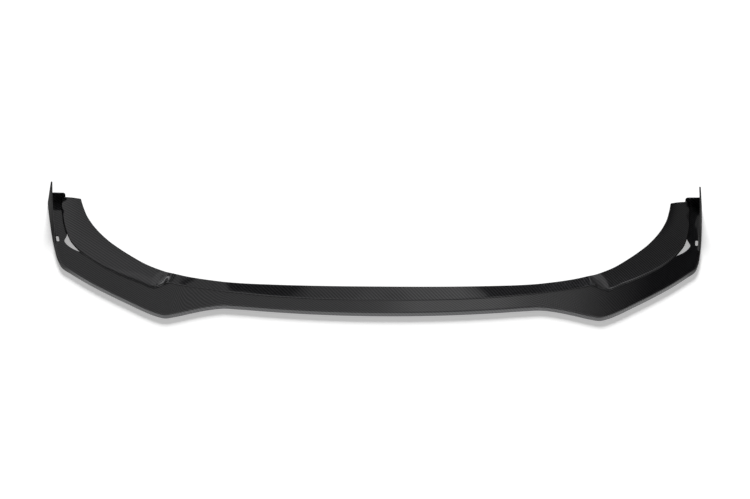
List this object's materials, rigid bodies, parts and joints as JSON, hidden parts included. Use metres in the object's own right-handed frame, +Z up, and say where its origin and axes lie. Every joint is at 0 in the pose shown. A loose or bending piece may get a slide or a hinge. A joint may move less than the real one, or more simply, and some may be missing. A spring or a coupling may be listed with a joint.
{
  "type": "front splitter lip",
  "caption": "Carbon-fibre front splitter lip with a swept blade, a low riser, raised side bands and upright end fins, screwed under a car's front bumper.",
  "frame": {"origin": "centre of the footprint, on the ground plane", "axes": "+X across the car to the right of the picture, -Y forward, towards the camera in the picture, +Z up"},
  "size_m": [1.9, 0.515, 0.084],
  "materials": {
    "carbon": "clear-coated twill carbon-fibre laminate"
  },
  "bodies": {
    "root": {"splitter_lip": "carbon"}
  },
  "joints": []
}
